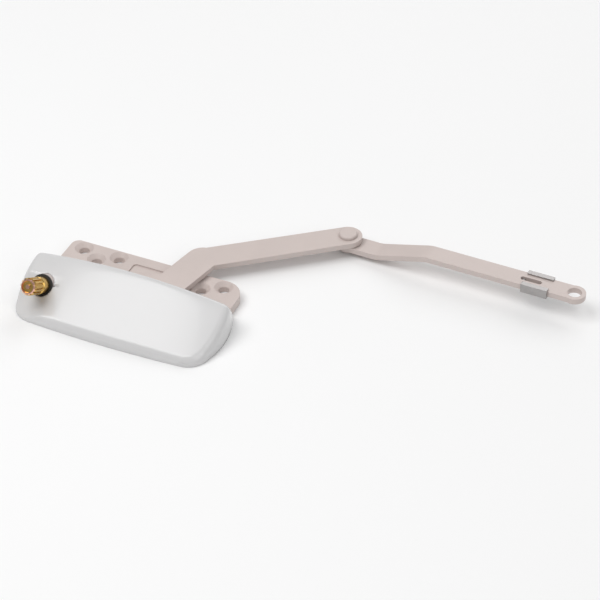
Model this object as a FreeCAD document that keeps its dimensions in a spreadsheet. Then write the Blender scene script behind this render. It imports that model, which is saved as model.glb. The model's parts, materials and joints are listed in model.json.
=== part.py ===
import FreeCAD, Part
import math
import os
import Sketcher

from FreeCAD import Placement, Rotation, Vector

# Split-arm casement window operator. Row frame: origin midway between the two rear end screw
# holes on the mounting face, +X along the base away from the crank, +Y out towards the sash,
# +Z up. Millimetres and degrees.

SIZES = {
    # mounting flange of the case
    "flange_left": 46.5,
    "flange_right": 49.0,
    "flange_back": 4.9,
    "flange_front": 14.0,
    "flange_thick": 5.0,
    "flange_corner_left": 4.0,
    "flange_corner_right": 10.0,
    "hole_radius": 2.75,
    "sink_radius": 4.8,
    "end_hole_x": 38.8,
    "centre_hole_x": 19.2,
    "front_hole_x": 29.0,
    "front_hole_y": 5.6,
    "pan_thick": 2.2,
    # cover
    "cover_centre": 1.2,
    "cover_half": 53.9,
    "cover_front": 59.1,
    "cover_back": 12.0,
    "cover_wall": 1.9,
    "cover_gap": 0.5,
    "ridge_y": 24.8,
    "ridge_height": 21.0,
    "face_slope": 24.4,
    "lip_height": 5.5,
    "crown_radius": 336.0,
    "doorway_left": 31.0,
    "doorway_right": 49.0,
    "doorway_height": 10.2,
    "scoop_radius": 8.0,
    "scoop_floor": 9.0,
    "scoop_lean_left": 16.0,
    "scoop_lean_front": 26.0,
    "scoop_right": 31.0,
    "scoop_back": 43.6,
    # crank shaft and worm
    "stud_tilt": 33.0,
    "mesh_height": 5.6,
    "stud_radius": 4.365,
    "stud_end": 26.6,
    "spline_start": 17.0,
    "plain_start": 11.0,
    "spline_count": 13.0,
    "spline_depth": 0.75,
    "journal_radius": 4.2,
    "collar_radius": 4.7,
    "collar_start": 7.0,
    "collar_end": 7.5,
    "worm_half": 3.0,
    "worm_pitch_radius": 3.0,
    "worm_outer_radius": 4.0,
    "worm_root_radius": 1.85,
    "tail_radius": 1.6,
    "tail_end": 6.2,
    "tail_bush_wall": 0.45,
    "ball_radius": 1.3,
    "barrel_radius": 6.2,
    "nose_radius": 5.5,
    "bush_wall": 0.65,
    # gear sector
    "tooth_module": 1.1,
    "tooth_count": 28.0,
    "sector_start": 122.0,
    "sector_end": 213.0,
    "tooth_play": 0.34,
    # arm stack, heights above the mounting face
    "pivot_x": -20.0,
    "pivot_y": -33.0,
    "plate_thick": 1.2,
    "plate_right": 22.6,
    "plate_front": 21.6,
    "plate_edge_gap": 0.4,
    "plate_worm_gap": 0.5,
    "sector_bottom": 2.4,
    "arm_bottom": 6.2,
    "arm_thick": 3.0,
    "hub_radius": 10.8,
    "deck_thick": 1.5,
    "deck_half": 7.5,
    "pin_radius": 3.0,
    "hub_bush_wall": 1.15,
    "run_gap": 0.05,
    "seat_gap": 0.02,
    # arm and link in plan
    "arm_width": 17.0,
    "arm_width_outer": 15.2,
    "arm_width_tip": 14.4,
    "elbow_x": 15.6,
    "elbow_y": -13.6,
    "bend_x": 21.4,
    "bend_y": 12.3,
    "knee_x": 80.4,
    "knee_y": 58.6,
    "link_width": 10.4,
    "link_thick": 3.0,
    "link_bottom": 2.7,
    "link_length": 120.7,
    "link_angle": -1.0,
    "link_rise": 7.5,
    "rise_start": 17.4,
    "rise_end": 44.0,
    "tip_hole_radius": 3.5,
    "slot_length": 11.0,
    "slot_width": 2.6,
    "slot_setback": 22.5,
    "rivet_radius": 3.0,
    "rivet_head_radius": 4.65,
    "rivet_head_height": 1.8,
    # lock clip
    "clip_length": 13.7,
    "clip_setback": 19.1,
    "clip_gauge": 0.8,
    "clip_play": 0.15,
    "clip_tongue": 2.2,
}

doc = FreeCAD.newDocument("sash_operator")
sheet = doc.addObject("Spreadsheet::Sheet", "Sizes")
for row, (alias, value) in enumerate(SIZES.items(), start=1):
    sheet.set("A%d" % row, alias)
    sheet.set("B%d" % row, "%g" % value)
    sheet.setAlias("B%d" % row, alias)
doc.recompute()

# Cells worked out from the cells above, for the sketches.
FORMULAS = {
    "tooth_slant": "=stud_tilt * 1 deg - asin(tooth_module / (2 * worm_pitch_radius))",
    "mesh_reach": "=tooth_count * tooth_module / (2 * cos(tooth_slant)) + worm_pitch_radius",
}
for row, (alias, formula) in enumerate(FORMULAS.items(), start=len(SIZES) + 1):
    sheet.set("A%d" % row, alias)
    sheet.set("B%d" % row, formula)
    sheet.setAlias("B%d" % row, alias)
    doc.recompute()


def size(alias):
    """Number held by a named cell of the sheet."""
    return float(sheet.get(alias))


# Places worked out from the sheet.
TILT = math.radians(size("stud_tilt"))
LEAD = math.asin(size("tooth_module") / (2.0 * size("worm_pitch_radius")))
TOOTH_SLANT = TILT - LEAD
SECTOR_RADIUS = size("tooth_count") * size("tooth_module") / (2.0 * math.cos(TOOTH_SLANT))
SECTOR_OUTER = SECTOR_RADIUS + 0.85 * size("tooth_module")
SECTOR_ROOT = SECTOR_RADIUS - 1.24 * size("tooth_module")
PIVOT = Vector(size("pivot_x"), size("pivot_y"), 0)
MESH = Vector(
    PIVOT.x - SECTOR_RADIUS - size("worm_pitch_radius"),
    PIVOT.y,
    size("mesh_height"),
)
SHAFT = Placement(MESH, Rotation(Vector(1, 0, 0), 90.0 - size("stud_tilt")))
KNEE = Vector(size("knee_x"), size("knee_y"), 0)
LINK = Placement(KNEE, Rotation(Vector(0, 0, 1), size("link_angle")))
CHAMBER_GAP = 0.35
CAVITY_RADIUS = SECTOR_OUTER + 2.0 * CHAMBER_GAP
SECTOR_TOP = size("arm_bottom")
ARM_TOP = size("arm_bottom") + size("arm_thick")
DECK_BOTTOM = ARM_TOP + 0.7
DECK_TOP = DECK_BOTTOM + size("deck_thick")
HUB_RADIUS = size("hub_radius")
HUB_CLEAR = 0.3
BUSH_OUTER = size("journal_radius") + size("bush_wall")
RING_START = size("collar_end") + 1.55
RING_THICK = 0.35
MOUTH = RING_START + RING_THICK + 0.2
SCOOP_INSIDE = size("scoop_floor") - size("cover_wall")
TAIL_BUSH_OUTER = size("tail_radius") + size("tail_bush_wall")
BALL_CENTRE = size("tail_end") + size("ball_radius") + size("run_gap")
HIGH = 60.0


# Outlines

def corner_arc(before, corner, after, radius):
    """Arc of the given radius that rounds a corner, with its two tangent points."""
    to_before = (before - corner).normalize()
    to_after = (after - corner).normalize()
    half_turn = to_before.getAngle(to_after) / 2.0
    reach = radius / math.tan(half_turn)
    first = corner + to_before * reach
    last = corner + to_after * reach
    bisector = (to_before + to_after).normalize()
    middle = corner + bisector * (radius / math.sin(half_turn) - radius)
    return first, middle, last


def rounded_wire(corners):
    """Closed wire through corners given as (point, radius); radius 0 keeps a corner sharp."""
    edges = []
    ends = []
    for index, (corner, radius) in enumerate(corners):
        if radius == 0:
            ends.append((corner, corner))
            continue
        before = corners[index - 1][0]
        after = corners[(index + 1) % len(corners)][0]
        first, middle, last = corner_arc(before, corner, after, radius)
        edges.append((index, Part.Arc(first, middle, last).toShape()))
        ends.append((first, last))
    for index, (_, last) in enumerate(ends):
        following = ends[(index + 1) % len(ends)][0]
        if (following - last).Length > 1e-6:
            edges.append((index + 0.5, Part.makeLine(last, following)))
    edges.sort(key=lambda item: item[0])
    return Part.Wire([edge for _, edge in edges])


def plan_prism(corners, low, high):
    """Upright prism over (x, y, radius) corners between two heights."""
    wire = rounded_wire([(Vector(x, y, low), radius) for x, y, radius in corners])
    return Part.Face(wire).extrude(Vector(0, 0, high - low))


def block(low, high):
    """Box between two corners."""
    return Part.makeBox(high[0] - low[0], high[1] - low[1], high[2] - low[2], Vector(*low))


def post(radius, low, high, place=Vector(0, 0, 0)):
    """Upright cylinder between two heights."""
    return Part.makeCylinder(radius, high - low, Vector(place.x, place.y, low))


def ring(inner, outer, low, high, place=Vector(0, 0, 0)):
    """Upright ring between two heights."""
    return post(outer, low, high, place).cut(post(inner, low - 1.0, high + 1.0, place))


def slab(first, first_radius, second, second_radius, low, high):
    """Flat bar with round ends, tangent to two circles in plan."""
    along = second - first
    turn = math.degrees(math.atan2(along.y, along.x))
    lean = math.acos((first_radius - second_radius) / along.Length)
    points = []
    for centre, radius, side in (
        (Vector(0, 0, 0), first_radius, 1),
        (Vector(along.Length, 0, 0), second_radius, 1),
        (Vector(along.Length, 0, 0), second_radius, -1),
        (Vector(0, 0, 0), first_radius, -1),
    ):
        offset = Vector(math.cos(lean), side * math.sin(lean), 0) * radius
        points.append(centre + offset)
    web = Part.Face(Part.makePolygon(points + points[:1])).extrude(Vector(0, 0, high - low))
    web.Placement = Placement(Vector(first.x, first.y, low), Rotation(Vector(0, 0, 1), turn))
    ends = [post(first_radius, low, high, first), post(second_radius, low, high, second)]
    return web.multiFuse(ends).removeSplitter()


# Sub-parts whose shape is set in code

def finish_feature(label, shape, placement=None):
    """Part::Feature that carries a shape made here, with its own placement."""
    feature = doc.addObject("Part::Feature", label)
    feature.Label = label
    feature.Shape = shape
    if placement is not None:
        feature.Placement = placement
    return feature


def only_solid(label, shape):
    """The single solid that a shape has to be; a shape in several pieces is a fault."""
    if len(shape.Solids) != 1:
        volumes = [round(solid.Volume, 3) for solid in shape.Solids]
        raise RuntimeError("%s is not one solid: %s" % (label, volumes))
    return shape.Solids[0]


def screw_places():
    """The five screw holes of the flange."""
    places = [Vector(side * size("end_hole_x"), 0, 0) for side in (-1, 1)]
    places.append(Vector(-size("centre_hole_x"), 0, 0))
    places += [Vector(side * size("front_hole_x"), -size("front_hole_y"), 0) for side in (-1, 1)]
    return places


def plate_screw_places():
    """The four small screws at the corners of the bottom plate."""
    return [
        Vector(PIVOT.x + x, PIVOT.y + y, 0)
        for x, y in ((-12.6, -18.6), (19.5, -18.6), (19.5, 15.6), (-12.8, 16.2))
    ]


def scoop_tool(grow):
    """Half-round pocket behind the stud, opening into a leaning flat at the front left."""
    round_pocket = post(size("scoop_radius") + grow, size("scoop_floor") - grow, HIGH)
    upper = block((-HIGH, -0.5 - grow, -HIGH), (HIGH, HIGH, HIGH))
    pocket = in_shaft_frame(round_pocket.common(upper))
    lean = Vector(
        -math.tan(math.radians(size("scoop_lean_left"))),
        -math.tan(math.radians(size("scoop_lean_front"))),
        1.0,
    ).normalize()
    seat = SHAFT.multVec(Vector(0, 0, size("scoop_floor"))) - lean * grow
    above = Part.makeBox(2 * HIGH, 2 * HIGH, HIGH, Vector(-HIGH, -HIGH, 0))
    above.Placement = Placement(seat, Rotation(Vector(0, 0, 1), lean))
    right = -size("scoop_right") + grow
    back = -size("scoop_back") + grow
    plan = plan_prism(
        [
            (right, back, 0),
            (right - 2.0 * size("scoop_radius") - grow, back + 5.0, 0),
            (-2.0 * HIGH, back + 5.0, 0),
            (-2.0 * HIGH, -2.0 * HIGH, 0),
            (right + 0.42 * HIGH, -size("scoop_back") - HIGH, 0),
        ],
        0,
        HIGH,
    )
    return pocket.fuse(above.common(plan))


def in_shaft_frame(shape):
    """Shape drawn about the shaft's own axis, moved to where the shaft lies."""
    placed = shape.copy()
    placed.Placement = SHAFT
    return placed


def cover_body(inset):
    """Solid within the cover's skin, drawn in by inset: plan outline met by a crowned profile."""
    half = size("cover_half")
    front = -size("cover_front")
    back = -size("cover_back")
    neck = half - 5.9
    left_back = Vector(-neck, back, 0)
    right_back = Vector(neck, back, 0)
    shoulder = Vector(half - 1.9, -47.5, 0)
    toe = Vector(half - 12.5, front + 2.2, 0)
    knuckle = Vector(half - 4.9, front + 4.9, 0)

    def mirrored(point):
        return Vector(-point.x, point.y, 0)

    wide = Vector(half, -36.0, 0)
    edges = [
        Part.makeLine(left_back, right_back),
        Part.Arc(right_back, wide, shoulder).toShape(),
        Part.Arc(shoulder, knuckle, toe).toShape(),
        Part.Arc(toe, Vector(0, front, 0), mirrored(toe)).toShape(),
        Part.Arc(mirrored(toe), mirrored(knuckle), mirrored(shoulder)).toShape(),
        Part.Arc(mirrored(shoulder), mirrored(wide), left_back).toShape(),
    ]
    outline = Part.Face(Part.Wire(edges))
    if inset:
        outline = outline.makeOffset2D(-inset)
    plan = outline.extrude(Vector(0, 0, HIGH))
    plan.translate(Vector(size("cover_centre"), 0, 0))

    ridge = Vector(0, -size("ridge_y"), size("ridge_height"))
    slope = math.tan(math.radians(size("face_slope")))
    break_y = front + 6.0
    lip_y = front - 0.2
    profile = rounded_wire(
        [
            (Vector(0, back, -HIGH), 0),
            (Vector(0, back, 5.0), 0),
            (ridge, 2.5),
            (Vector(0, break_y, ridge.z + (break_y - ridge.y) * slope), 3.0),
            (Vector(0, lip_y, size("lip_height")), 3.0),
            (Vector(0, lip_y, -HIGH), 0),
        ]
    )
    section = Part.Face(profile)
    if inset:
        section = section.makeOffset2D(-inset)
    crown = Vector(size("cover_centre"), 0, size("ridge_height") - size("crown_radius"))
    section.translate(Vector(size("cover_centre"), 0, 0))
    swing = 12.0
    section.rotate(crown, Vector(0, 1, 0), -swing)
    arch = section.revolve(crown, Vector(0, 1, 0), 2.0 * swing)
    return plan.common(arch)


def make_cover():
    """Snap-on moulded shell with the doorway for the arm and the scoop round the stud."""
    wall = size("cover_wall")
    outer = cover_body(0).cut(scoop_tool(0))
    inner = cover_body(wall).cut(scoop_tool(wall))
    shell = outer.cut(inner)
    gap = size("cover_gap")
    doorway = block(
        (-size("doorway_left"), -30.0, -1.0),
        (size("doorway_right"), 0.0, size("doorway_height")),
    )
    flange_room = block(
        (-HIGH, -size("flange_front") - gap / 2.0, -1.0),
        (HIGH, 0.0, size("flange_thick") + gap / 2.0),
    )
    shaft_hole = in_shaft_frame(post(size("nose_radius") + 0.2, 0.0, HIGH))
    hub_room = post(HUB_RADIUS + HUB_CLEAR, 0, ARM_TOP + HUB_CLEAR, PIVOT)
    shell = shell.cut([doorway, flange_room, shaft_hole, hub_room])
    return finish_feature("cover", only_solid("cover", shell))


def case_blank():
    """The casting before it is bored: flange, pan, web, shaft block and bridge deck."""
    left = -size("flange_left")
    right = size("flange_right")
    back = size("flange_back")
    thick = size("flange_thick")
    front = -size("flange_front")
    flange = plan_prism(
        [
            (left, front, 0),
            (right, front, 0),
            (right, back, size("flange_corner_right")),
            (left, back, size("flange_corner_left")),
        ],
        0,
        thick,
    )
    inside = cover_body(size("cover_wall") + size("cover_gap"))
    inside = inside.cut(scoop_tool(size("cover_wall") + size("cover_gap")))
    reach = size("barrel_radius") + 0.6
    web = block((MESH.x - reach + 2.0, PIVOT.y + 8.0, 0), (MESH.x + reach, front + 1.0, thick))
    shaft_block = block((MESH.x - reach, PIVOT.y - 12.0, 0), (MESH.x + reach, PIVOT.y + 9.5, DECK_TOP))
    barrel = in_shaft_frame(post(size("barrel_radius"), -BALL_CENTRE - 1.3, SCOOP_INSIDE - 0.5))
    pan = block((-HIGH, -HIGH, 0), (HIGH, front + 1.0, size("pan_thick")))
    bosses = [post(3.0, 0, 4.6, place) for place in plate_screw_places()]
    housed = pan.multiFuse([web, shaft_block, barrel] + bosses).common(inside)
    half = size("deck_half")
    deck = slab(Vector(MESH.x, PIVOT.y, 0), half, PIVOT, half - 1e-3, DECK_BOTTOM, DECK_TOP)
    deck = deck.common(inside)
    root_low = block((-38.0, front - 1.0, 0), (40.0, front + 0.5, size("pan_thick")))
    root_high = block((-22.0, front - 2.5, 0), (24.0, front + 0.5, thick - 1.0))
    blank = flange.multiFuse([root_low, root_high, housed])
    cavity_low = post(CAVITY_RADIUS, -1.0, SECTOR_TOP + 0.2, PIVOT)
    cavity_high = post(HUB_RADIUS + 0.5, 0, DECK_BOTTOM, PIVOT)
    blank = blank.cut(cavity_low).cut(cavity_high)
    ledge = ring(0.5, CAVITY_RADIUS + 0.5, size("plate_thick"), size("pan_thick"), PIVOT)
    ledge = ledge.cut(post(CAVITY_RADIUS, 0, 5, PIVOT))
    nose = in_shaft_frame(post(size("nose_radius"), SCOOP_INSIDE - 1.0, MOUTH)).cut(cavity_low)
    return blank.multiFuse([deck, ledge, nose])


def plate_outline(grow):
    """Corners of the bottom plate in plan."""
    left = MESH.x + size("worm_outer_radius") + size("plate_worm_gap") - grow
    right = PIVOT.x + size("plate_right") + grow
    front = PIVOT.y - size("plate_front") - grow
    back = -size("flange_front") - size("plate_edge_gap") + grow
    return [(left, front, 0), (right, front, 0), (right, back, 0), (left, back, 0)]


def make_case():
    """Casting bored for the screws, the worm, the bushes, the ball and the bottom plate."""
    case = case_blank()
    thick = size("flange_thick")
    hole = size("hole_radius")
    sink = size("sink_radius")
    tools = [plan_prism(plate_outline(0.1), -1.0, size("plate_thick"))]
    for place in screw_places():
        tools.append(post(hole, -1.0, thick + 1.0, place))
        depth = sink - hole
        base = Vector(place.x, place.y, thick - depth)
        tools.append(Part.makeCone(hole, sink, depth, base))
    relief = plan_prism(
        [(-10.0, -HIGH / 3.0, 0), (21.0, -HIGH / 3.0, 0), (18.5, -1.0, 2.0), (-10.0, -1.0, 2.0)],
        thick - 0.8,
        thick + 1.0,
    )
    tools.append(relief)
    for place in plate_screw_places():
        tools.append(post(1.0, 0, 4.0, place))
    gap = size("seat_gap")
    tail = -size("tail_end")
    bores = [
        post(BUSH_OUTER + gap, size("collar_start") - 0.1, HIGH / 2.0),
        post(BUSH_OUTER + 0.2, RING_START, RING_START + RING_THICK),
        post(size("nose_radius") + 0.1, MOUTH, HIGH),
        post(size("worm_outer_radius") + CHAMBER_GAP, -size("worm_half") - 0.2, size("collar_start")),
        post(TAIL_BUSH_OUTER + gap, tail - gap, -size("worm_half")),
        post(size("ball_radius") + gap, -BALL_CENTRE, tail),
        Part.makeSphere(size("ball_radius") + gap, Vector(0, 0, -BALL_CENTRE)),
    ]
    tools += [in_shaft_frame(bore) for bore in bores]
    tools.append(post(size("pin_radius") + gap, DECK_BOTTOM - 1.0, HIGH, PIVOT))
    grease_slot = block((MESH.x - 1.2, MESH.y - 3.0, -1.0), (MESH.x + 1.2, MESH.y + 7.0, 1.0))
    tools.append(grease_slot)
    tools.append(block((-HIGH, -HIGH * 2, -HIGH), (HIGH, HIGH, 0)))
    case = case.cut(tools).removeSplitter()
    return finish_feature("gear_case", only_solid("gear_case", case))


def make_thread():
    """Single-start right-hand ridge, trimmed to the worm's length and outer radius."""
    lead = math.pi * size("tooth_module") / math.cos(LEAD)
    half = lead / 4.0 - size("tooth_play")
    flank = math.tan(math.radians(20.0))
    crest = size("worm_outer_radius") + 0.2
    root = size("worm_root_radius") - 0.3
    pitch = size("worm_pitch_radius")
    start = -2.0 * lead
    path = Part.Wire(Part.makeHelix(lead, 4.0 * lead, pitch).Edges)
    path.translate(Vector(0, 0, start))
    wide = half + (pitch - root) * flank
    narrow = half - (crest - pitch) * flank
    points = [
        Vector(root, 0, start - wide),
        Vector(crest, 0, start - narrow),
        Vector(crest, 0, start + narrow),
        Vector(root, 0, start + wide),
    ]
    profile = Part.makePolygon(points + points[:1])
    ridge = path.makePipeShell([profile], True, True)
    length = size("worm_half")
    return ridge.common(post(size("worm_outer_radius"), -length, length))


def make_shaft():
    """Crank shaft: tail journal, worm, collar, bearing journal, plain seat and splined stud."""
    stud = size("stud_radius")
    end = size("stud_end")
    spline = size("spline_start")
    outline = [
        (0, size("collar_start")),
        (size("collar_radius"), size("collar_start")),
        (size("collar_radius"), size("collar_end")),
        (size("journal_radius"), size("collar_end")),
        (size("journal_radius"), size("plain_start")),
        (stud, size("plain_start")),
        (stud, spline - 0.9),
        (stud - size("spline_depth"), spline - 0.3),
        (stud - size("spline_depth"), spline),
        (stud, spline + 0.5),
        (stud, end - 1.2),
        (stud - 1.0, end),
        (stud - 1.4, end),
        (stud - 1.7, end - 0.8),
        (1.1, end - 0.8),
        (1.1, end - 0.2),
        (0, end - 0.2),
    ]
    points = [Vector(radius, 0, along) for radius, along in outline]
    turned = Part.Face(Part.makePolygon(points + points[:1])).revolve(
        Vector(0, 0, 0), Vector(0, 0, 1), 360
    )
    count = int(size("spline_count"))
    groove_half = 0.42 * math.pi * stud / count
    groove = plan_prism(
        [
            (stud - size("spline_depth"), -0.5 * groove_half, 0),
            (stud + 0.5, -groove_half - 0.25, 0),
            (stud + 0.5, groove_half + 0.25, 0),
            (stud - size("spline_depth"), 0.5 * groove_half, 0),
        ],
        spline,
        end + 1.0,
    )
    grooves = []
    for index in range(count):
        tooth_gap = groove.copy()
        tooth_gap.rotate(Vector(0, 0, 0), Vector(0, 0, 1), index * 360.0 / count)
        grooves.append(tooth_gap)
    tail = post(size("tail_radius"), -size("tail_end"), size("worm_half"))
    neck = post(size("worm_root_radius"), -size("worm_half"), size("collar_start") + 0.5)
    shape = turned.cut(grooves).fuse(neck).fuse(tail).removeSplitter().fuse(make_thread())
    return finish_feature("crank_shaft", shape, SHAFT)


def make_sector():
    """Gear sector under the arm, with straight slots slanted to suit the tilted worm."""
    low = size("sector_bottom")
    high = SECTOR_TOP
    start = math.radians(size("sector_start"))
    end = math.radians(size("sector_end"))
    middle = (start + end) / 2.0
    first, centre, last = [
        Vector(math.cos(turn), math.sin(turn), 0) * SECTOR_OUTER for turn in (start, middle, end)
    ]
    edges = [
        Part.makeLine(Vector(0, 0, 0), first),
        Part.Arc(first, centre, last).toShape(),
        Part.makeLine(last, Vector(0, 0, 0)),
    ]
    wedge = Part.Face(Part.Wire(edges)).extrude(Vector(0, 0, high - low))
    wedge.translate(Vector(0, 0, low))
    blank = wedge.fuse(post(7.5, low, high))
    flank = math.tan(math.radians(20.0))
    half = math.pi * size("tooth_module") / (4.0 * math.cos(TOOTH_SLANT)) + 0.06
    tip = SECTOR_OUTER + 1.0
    wide = half + (tip - SECTOR_RADIUS) * flank
    narrow = half - (SECTOR_RADIUS - SECTOR_ROOT) * flank
    spare = 0.5
    depth = low - spare
    shift = (depth - size("mesh_height")) * math.tan(TOOTH_SLANT)
    points = [
        Vector(-tip, shift - wide, depth),
        Vector(-SECTOR_ROOT, shift - narrow, depth),
        Vector(-SECTOR_ROOT, shift + narrow, depth),
        Vector(-tip, shift + wide, depth),
    ]
    rise = high - low + 2.0 * spare
    sweep = Vector(0, rise * math.tan(TOOTH_SLANT), rise)
    slot = Part.Face(Part.makePolygon(points + points[:1])).extrude(sweep)
    pitch_angle = 360.0 / size("tooth_count")
    slots = []
    for index in range(-5, 5):
        tooth_space = slot.copy()
        tooth_space.rotate(Vector(0, 0, 0), Vector(0, 0, 1), index * pitch_angle)
        slots.append(tooth_space)
    bore = post(hub_bore(), 0, HIGH)
    holes = [post(rivet_shank(), 0, HIGH, place) for place in rivet_places()]
    shape = blank.cut(slots + [bore] + holes)
    return finish_feature("gear_sector", shape, Placement(PIVOT, Rotation()))


def hub_bore():
    """Bore through the sector and the arm for the hub bush."""
    return size("pin_radius") + size("hub_bush_wall") + size("run_gap") + size("seat_gap")


def rivet_shank():
    """Radius of the small rivets that join the sector to the arm."""
    return 1.5


def rivet_places():
    """The three sector rivets, about the pivot."""
    turns = [math.radians(angle) for angle in (139.0, 167.5, 196.0)]
    reach = HUB_RADIUS - 2.4
    return [Vector(reach * math.cos(turn), reach * math.sin(turn), 0) for turn in turns]


def make_sector_rivets():
    """Three rivets with flat heads above the arm, flush below the sector."""
    rivets = []
    for place in rivet_places():
        shank = post(rivet_shank(), size("sector_bottom"), ARM_TOP, place)
        head = post(2.0, ARM_TOP, ARM_TOP + 0.3, place)
        rivets.append(shank.fuse(head))
    return finish_feature("sector_rivets", Part.makeCompound(rivets), Placement(PIVOT, Rotation()))


def make_arm():
    """Drive arm: round hub under the deck, elbow under the cover's edge, bend and knee."""
    low = size("arm_bottom")
    high = ARM_TOP
    elbow = Vector(size("elbow_x"), size("elbow_y"), 0)
    bend = Vector(size("bend_x"), size("bend_y"), 0)
    half = size("arm_width") / 2.0
    outer = size("arm_width_outer") / 2.0
    tip = size("arm_width_tip") / 2.0
    hub = post(HUB_RADIUS, low, high, PIVOT)
    shape = hub.multiFuse(
        [
            slab(PIVOT, half, elbow, half - 1e-3, low, high),
            slab(elbow, half, bend, half - 0.1, low, high),
            slab(bend, outer, KNEE, tip, low, high),
        ]
    ).removeSplitter()
    holes = [post(hub_bore(), 0, HIGH, PIVOT), post(size("rivet_radius"), 0, HIGH, KNEE)]
    holes += [post(rivet_shank(), 0, HIGH, PIVOT + place) for place in rivet_places()]
    return finish_feature("drive_arm", shape.cut(holes))


def make_link():
    """Link arm: flat bar with a smooth upward joggle, a slot and a tip hole."""
    low = size("link_bottom")
    thick = size("link_thick")
    raised = low + size("link_rise")
    length = size("link_length")
    half = size("link_width") / 2.0
    bend = 12.0
    run = size("rise_end") - size("rise_start")
    slope = math.atan2(size("link_rise"), run)
    shift = thick * math.tan(slope / 2.0)
    side = [
        (-10.0, low, 0),
        (size("rise_start"), low, bend + thick),
        (size("rise_end"), raised, bend),
        (length + 10.0, raised, 0),
        (length + 10.0, raised + thick, 0),
        (size("rise_end") - shift, raised + thick, bend + thick),
        (size("rise_start") - shift, low + thick, bend),
        (-10.0, low + thick, 0),
    ]
    wire = rounded_wire([(Vector(x, -HIGH / 2.0, z), radius) for x, z, radius in side])
    bar = Part.Face(wire).extrude(Vector(0, HIGH, 0))
    tip = Vector(length, 0, 0)
    plan = slab(Vector(0, 0, 0), half + 0.4, tip, half + 0.399, -1.0, HIGH)
    trim = slab(Vector(0, 0, 0), half, tip, half - 1e-3, -1.0, HIGH)
    eyes = [post(half + 0.4, -1.0, HIGH), post(half + 0.4, -1.0, HIGH, tip)]
    plan = plan.common(trim.multiFuse(eyes))
    slot_reach = (size("slot_length") - size("slot_width")) / 2.0
    centre = length - size("slot_setback")
    slot_radius = size("slot_width") / 2.0
    slot = slab(
        Vector(centre - slot_reach, 0, 0),
        slot_radius,
        Vector(centre + slot_reach, 0, 0),
        slot_radius - 1e-4,
        0,
        HIGH,
    )
    bush = size("rivet_radius") + size("run_gap") + 0.8 + size("seat_gap")
    holes = [post(bush, 0, HIGH), post(size("tip_hole_radius"), 0, HIGH, tip), slot]
    shape = bar.common(plan).cut(holes)
    return finish_feature("link_arm", shape.removeSplitter(), LINK)


def make_clip():
    """Spring-steel lock: floor and forked nose under the link, walls and lips over its edges."""
    gauge = size("clip_gauge")
    play = size("clip_play")
    low = size("link_bottom") + size("link_rise")
    high = low + size("link_thick")
    inner = size("link_width") / 2.0 + play
    outer = inner + gauge
    length = size("link_length")
    start = length - size("clip_setback") - size("clip_length") / 2.0
    end = start + size("clip_length")
    floor_low = low - play - gauge
    pieces = [block((start, -outer, floor_low), (end, outer, low - play))]
    for side in (-1, 1):
        wall = sorted((side * inner, side * outer))
        lip = sorted((side * (inner - 1.9), side * outer))
        pieces.append(block((start, wall[0], floor_low), (end, wall[1], high + play + gauge)))
        pieces.append(block((start, lip[0], high + play), (end, lip[1], high + play + gauge)))
    tail = length - 28.6
    nose = length - 3.4
    pieces.append(block((tail, -3.2, floor_low), (nose, 3.2, low - play)))
    tongue = tail + size("clip_tongue")
    pieces.append(block((tongue - gauge / 2.0, -1.0, floor_low), (tongue + gauge / 2.0, 1.0, low + 2.2)))
    fork = post(2.3, 0, HIGH, Vector(nose, 0, 0))
    shape = pieces[0].multiFuse(pieces[1:]).removeSplitter().cut(fork)
    return finish_feature("lock_clip", shape, LINK)


# Sub-parts drawn as sketches

def origin_plane(body, role):
    """Origin plane of a body, by its role."""
    return next(item for item in body.Origin.OriginFeatures if item.Role == role)


def sketch_on(body, name, role):
    """Sketch attached to one of the body's own origin planes."""
    sketch = body.newObject("Sketcher::SketchObject", name)
    sketch.AttachmentSupport = [(origin_plane(body, role), "")]
    sketch.MapMode = "FlatFace"
    return sketch


def bound_outline(sketch, corners):
    """Closed polygon whose corners are bound to pairs of expressions."""
    spots = [Vector(sketch.evalExpression(x), sketch.evalExpression(y), 0) for x, y in corners]
    total = len(spots)
    for index in range(total):
        sketch.addGeometry(Part.LineSegment(spots[index], spots[(index + 1) % total]))
    for index in range(total):
        sketch.addConstraint(Sketcher.Constraint("Coincident", index, 2, (index + 1) % total, 1))
    for index, (x, y) in enumerate(corners):
        for kind, expression, value in (("DistanceX", x, spots[index].x), ("DistanceY", y, spots[index].y)):
            which = sketch.addConstraint(Sketcher.Constraint(kind, -1, 1, index, 1, value))
            sketch.setExpression("Constraints[%d]" % which, expression)


def turned_body(label, corners, placement):
    """PartDesign body turned about its own Z from (radius, height) pairs of expressions."""
    body = doc.addObject("PartDesign::Body", label)
    body.Label = label
    sketch = sketch_on(body, label + "_profile", "XZ_Plane")
    bound_outline(sketch, corners)
    turn = body.newObject("PartDesign::Revolution", label + "_turn")
    turn.Profile = sketch
    turn.ReferenceAxis = (sketch, ["V_Axis"])
    turn.Angle = 360.0
    body.Tip = turn
    body.Placement = placement
    return body


def cell(expression):
    """Expression text with every sheet alias written out in full."""
    words = expression.replace("(", " ( ").replace(")", " ) ").split()
    held = set(SIZES) | set(FORMULAS)
    return " ".join("Sizes." + word if word in held else word for word in words)


def ring_body(label, inner, outer, low, high, placement):
    """Turned ring from four expressions."""
    inner, outer, low, high = cell(inner), cell(outer), cell(low), cell(high)
    corners = [(inner, low), (outer, low), (outer, high), (inner, high)]
    return turned_body(label, corners, placement)


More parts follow.
